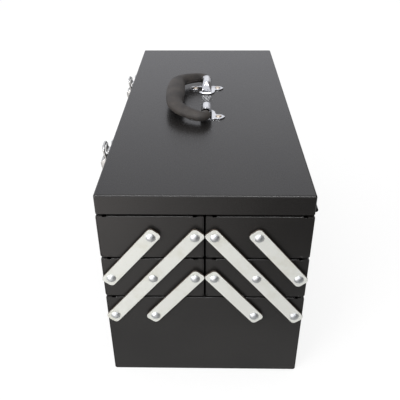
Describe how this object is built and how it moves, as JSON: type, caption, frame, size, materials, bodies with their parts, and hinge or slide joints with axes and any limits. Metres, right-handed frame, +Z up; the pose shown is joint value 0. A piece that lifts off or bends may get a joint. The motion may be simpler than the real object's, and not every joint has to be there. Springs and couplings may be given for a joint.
{
  "type": "cantilever tool box",
  "caption": "Steel cantilever tool box: trays on flat pivoting arms spread to both sides over a deep base, under one hinged lid with a folding handle and side latches.",
  "frame": {"origin": "centre of the base's underside", "axes": "+X to the hinged side of the lid, +Y along the box from the near end to the far end, +Z up"},
  "size_m": [0.2193, 0.4532, 0.2487],
  "materials": {
    "black_coat": "satin fine-textured black powder coat",
    "zinc": "dull zinc plate",
    "rivet_steel": "bright plated",
    "chrome": "polished",
    "brass_rivet": "dull brass wash",
    "grip_rubber": "matte dark rubber"
  },
  "bodies": {
    "base": {"base_shell": "black_coat", "base_front_end": "black_coat", "base_rear_end": "black_coat", "base_rivets": "rivet_steel"},
    "left_long_arms": {"left_long_arm_front": "zinc", "left_long_arm_rear": "zinc"},
    "left_lower_arms": {"left_lower_arm_front": "zinc", "left_lower_arm_rear": "zinc"},
    "left_upper_arms": {"left_upper_arm_front": "zinc", "left_upper_arm_rear": "zinc"},
    "left_middle_tray": {"left_middle_shell": "black_coat", "left_middle_front_end": "black_coat", "left_middle_rear_end": "black_coat", "left_middle_rivets": "rivet_steel"},
    "left_top_tray": {"left_top_shell": "black_coat", "left_top_front_end": "black_coat", "left_top_rear_end": "black_coat", "left_top_rivets": "rivet_steel", "front_latch_plate": "zinc", "rear_latch_plate": "zinc", "front_latch_pin": "zinc", "rear_latch_pin": "zinc"},
    "right_long_arms": {"right_long_arm_front": "zinc", "right_long_arm_rear": "zinc"},
    "right_lower_arms": {"right_lower_arm_front": "zinc", "right_lower_arm_rear": "zinc"},
    "right_upper_arms": {"right_upper_arm_front": "zinc", "right_upper_arm_rear": "zinc"},
    "right_middle_tray": {"right_middle_shell": "black_coat", "right_middle_front_end": "black_coat", "right_middle_rear_end": "black_coat", "right_middle_rivets": "rivet_steel"},
    "right_top_tray": {"right_top_shell": "black_coat", "right_top_front_end": "black_coat", "right_top_rear_end": "black_coat", "right_top_rivets": "rivet_steel", "tray_hinge_leaf": "black_coat", "lid_hinge_pin": "black_coat"},
    "lid": {"lid_shell": "black_coat", "lid_hinge_leaf": "black_coat", "front_catch_plate": "zinc", "rear_catch_plate": "zinc", "front_handle_bracket": "chrome", "rear_handle_bracket": "chrome", "handle_saddles": "zinc"},
    "handle": {"handle_core": "zinc", "handle_grip": "grip_rubber"},
    "front_latch_lever": {"front_latch_lever": "zinc"},
    "front_latch_bail": {"front_latch_loop": "zinc"},
    "rear_latch_lever": {"rear_latch_lever": "zinc"},
    "rear_latch_bail": {"rear_latch_loop": "zinc"}
  },
  "joints": [
    {"name": "left_spread", "type": "hinge", "parent": "base", "child": "left_long_arms", "pos_m": [-0.0913, 0, 0.0849], "axis": [0, -1, 0], "range_deg": [0, 79.4]},
    {"name": "left_middle_level", "type": "hinge", "parent": "left_long_arms", "child": "left_middle_tray", "pos_m": [-0.0503, 0, 0.1342], "axis": [0, -1, 0], "range_deg": [-79.5, 0]},
    {"name": "left_top_level", "type": "hinge", "parent": "left_long_arms", "child": "left_top_tray", "pos_m": [-0.0093, 0, 0.1835], "axis": [0, -1, 0], "range_deg": [-79.5, 0]},
    {"name": "left_lower_swing", "type": "hinge", "parent": "base", "child": "left_lower_arms", "pos_m": [-0.0503, 0, 0.0849], "axis": [0, -1, 0], "range_deg": [0, 79.5]},
    {"name": "left_upper_swing", "type": "hinge", "parent": "left_middle_tray", "child": "left_upper_arms", "pos_m": [-0.0913, 0, 0.1342], "axis": [0, -1, 0], "range_deg": [0, 79.5]},
    {"name": "right_spread", "type": "hinge", "parent": "base", "child": "right_long_arms", "pos_m": [0.0913, 0, 0.0849], "axis": [0, 1, 0], "range_deg": [0, 79.4]},
    {"name": "right_middle_level", "type": "hinge", "parent": "right_long_arms", "child": "right_middle_tray", "pos_m": [0.0503, 0, 0.1342], "axis": [0, 1, 0], "range_deg": [-79.5, 0]},
    {"name": "right_top_level", "type": "hinge", "parent": "right_long_arms", "child": "right_top_tray", "pos_m": [0.0093, 0, 0.1835], "axis": [0, 1, 0], "range_deg": [-79.5, 0]},
    {"name": "right_lower_swing", "type": "hinge", "parent": "base", "child": "right_lower_arms", "pos_m": [0.0503, 0, 0.0849], "axis": [0, 1, 0], "range_deg": [0, 79.5]},
    {"name": "right_upper_swing", "type": "hinge", "parent": "right_middle_tray", "child": "right_upper_arms", "pos_m": [0.0913, 0, 0.1342], "axis": [0, 1, 0], "range_deg": [0, 79.5]},
    {"name": "lid_open", "type": "hinge", "parent": "right_top_tray", "child": "lid", "pos_m": [0.1022, 0, 0.20575], "axis": [0, 1, 0], "range_deg": [0, 110]},
    {"name": "handle_fold", "type": "hinge", "parent": "lid", "child": "handle", "pos_m": [0, 0, 0.2358], "axis": [0, 1, 0], "range_deg": [-6, 174]},
    {"name": "front_latch", "type": "hinge", "parent": "left_top_tray", "child": "front_latch_lever", "pos_m": [-0.107, -0.105, 0.202], "axis": [0, 1, 0], "range_deg": [0, 110]},
    {"name": "front_latch_release", "type": "hinge", "parent": "front_latch_lever", "child": "front_latch_bail", "pos_m": [-0.1055, -0.105, 0.193], "axis": [0, 1, 0], "range_deg": [-138, 0]},
    {"name": "rear_latch", "type": "hinge", "parent": "left_top_tray", "child": "rear_latch_lever", "pos_m": [-0.107, 0.105, 0.202], "axis": [0, 1, 0], "range_deg": [0, 110]},
    {"name": "rear_latch_release", "type": "hinge", "parent": "rear_latch_lever", "child": "rear_latch_bail", "pos_m": [-0.1055, 0.105, 0.193], "axis": [0, 1, 0], "range_deg": [-138, 0]}
  ],
  "couplings": [
    {"joint": "left_middle_level", "follows": "left_spread", "ratio": -1},
    {"joint": "left_top_level", "follows": "left_spread", "ratio": -1},
    {"joint": "left_lower_swing", "follows": "left_spread", "ratio": 1},
    {"joint": "left_upper_swing", "follows": "left_spread", "ratio": 1},
    {"joint": "right_middle_level", "follows": "right_spread", "ratio": -1},
    {"joint": "right_top_level", "follows": "right_spread", "ratio": -1},
    {"joint": "right_lower_swing", "follows": "right_spread", "ratio": 1},
    {"joint": "right_upper_swing", "follows": "right_spread", "ratio": 1},
    {"joint": "lid_open", "follows": "left_spread", "ratio": 1.38},
    {"joint": "front_latch_release", "follows": "front_latch", "ratio": -1.25},
    {"joint": "rear_latch_release", "follows": "rear_latch", "ratio": -1.25}
  ]
}
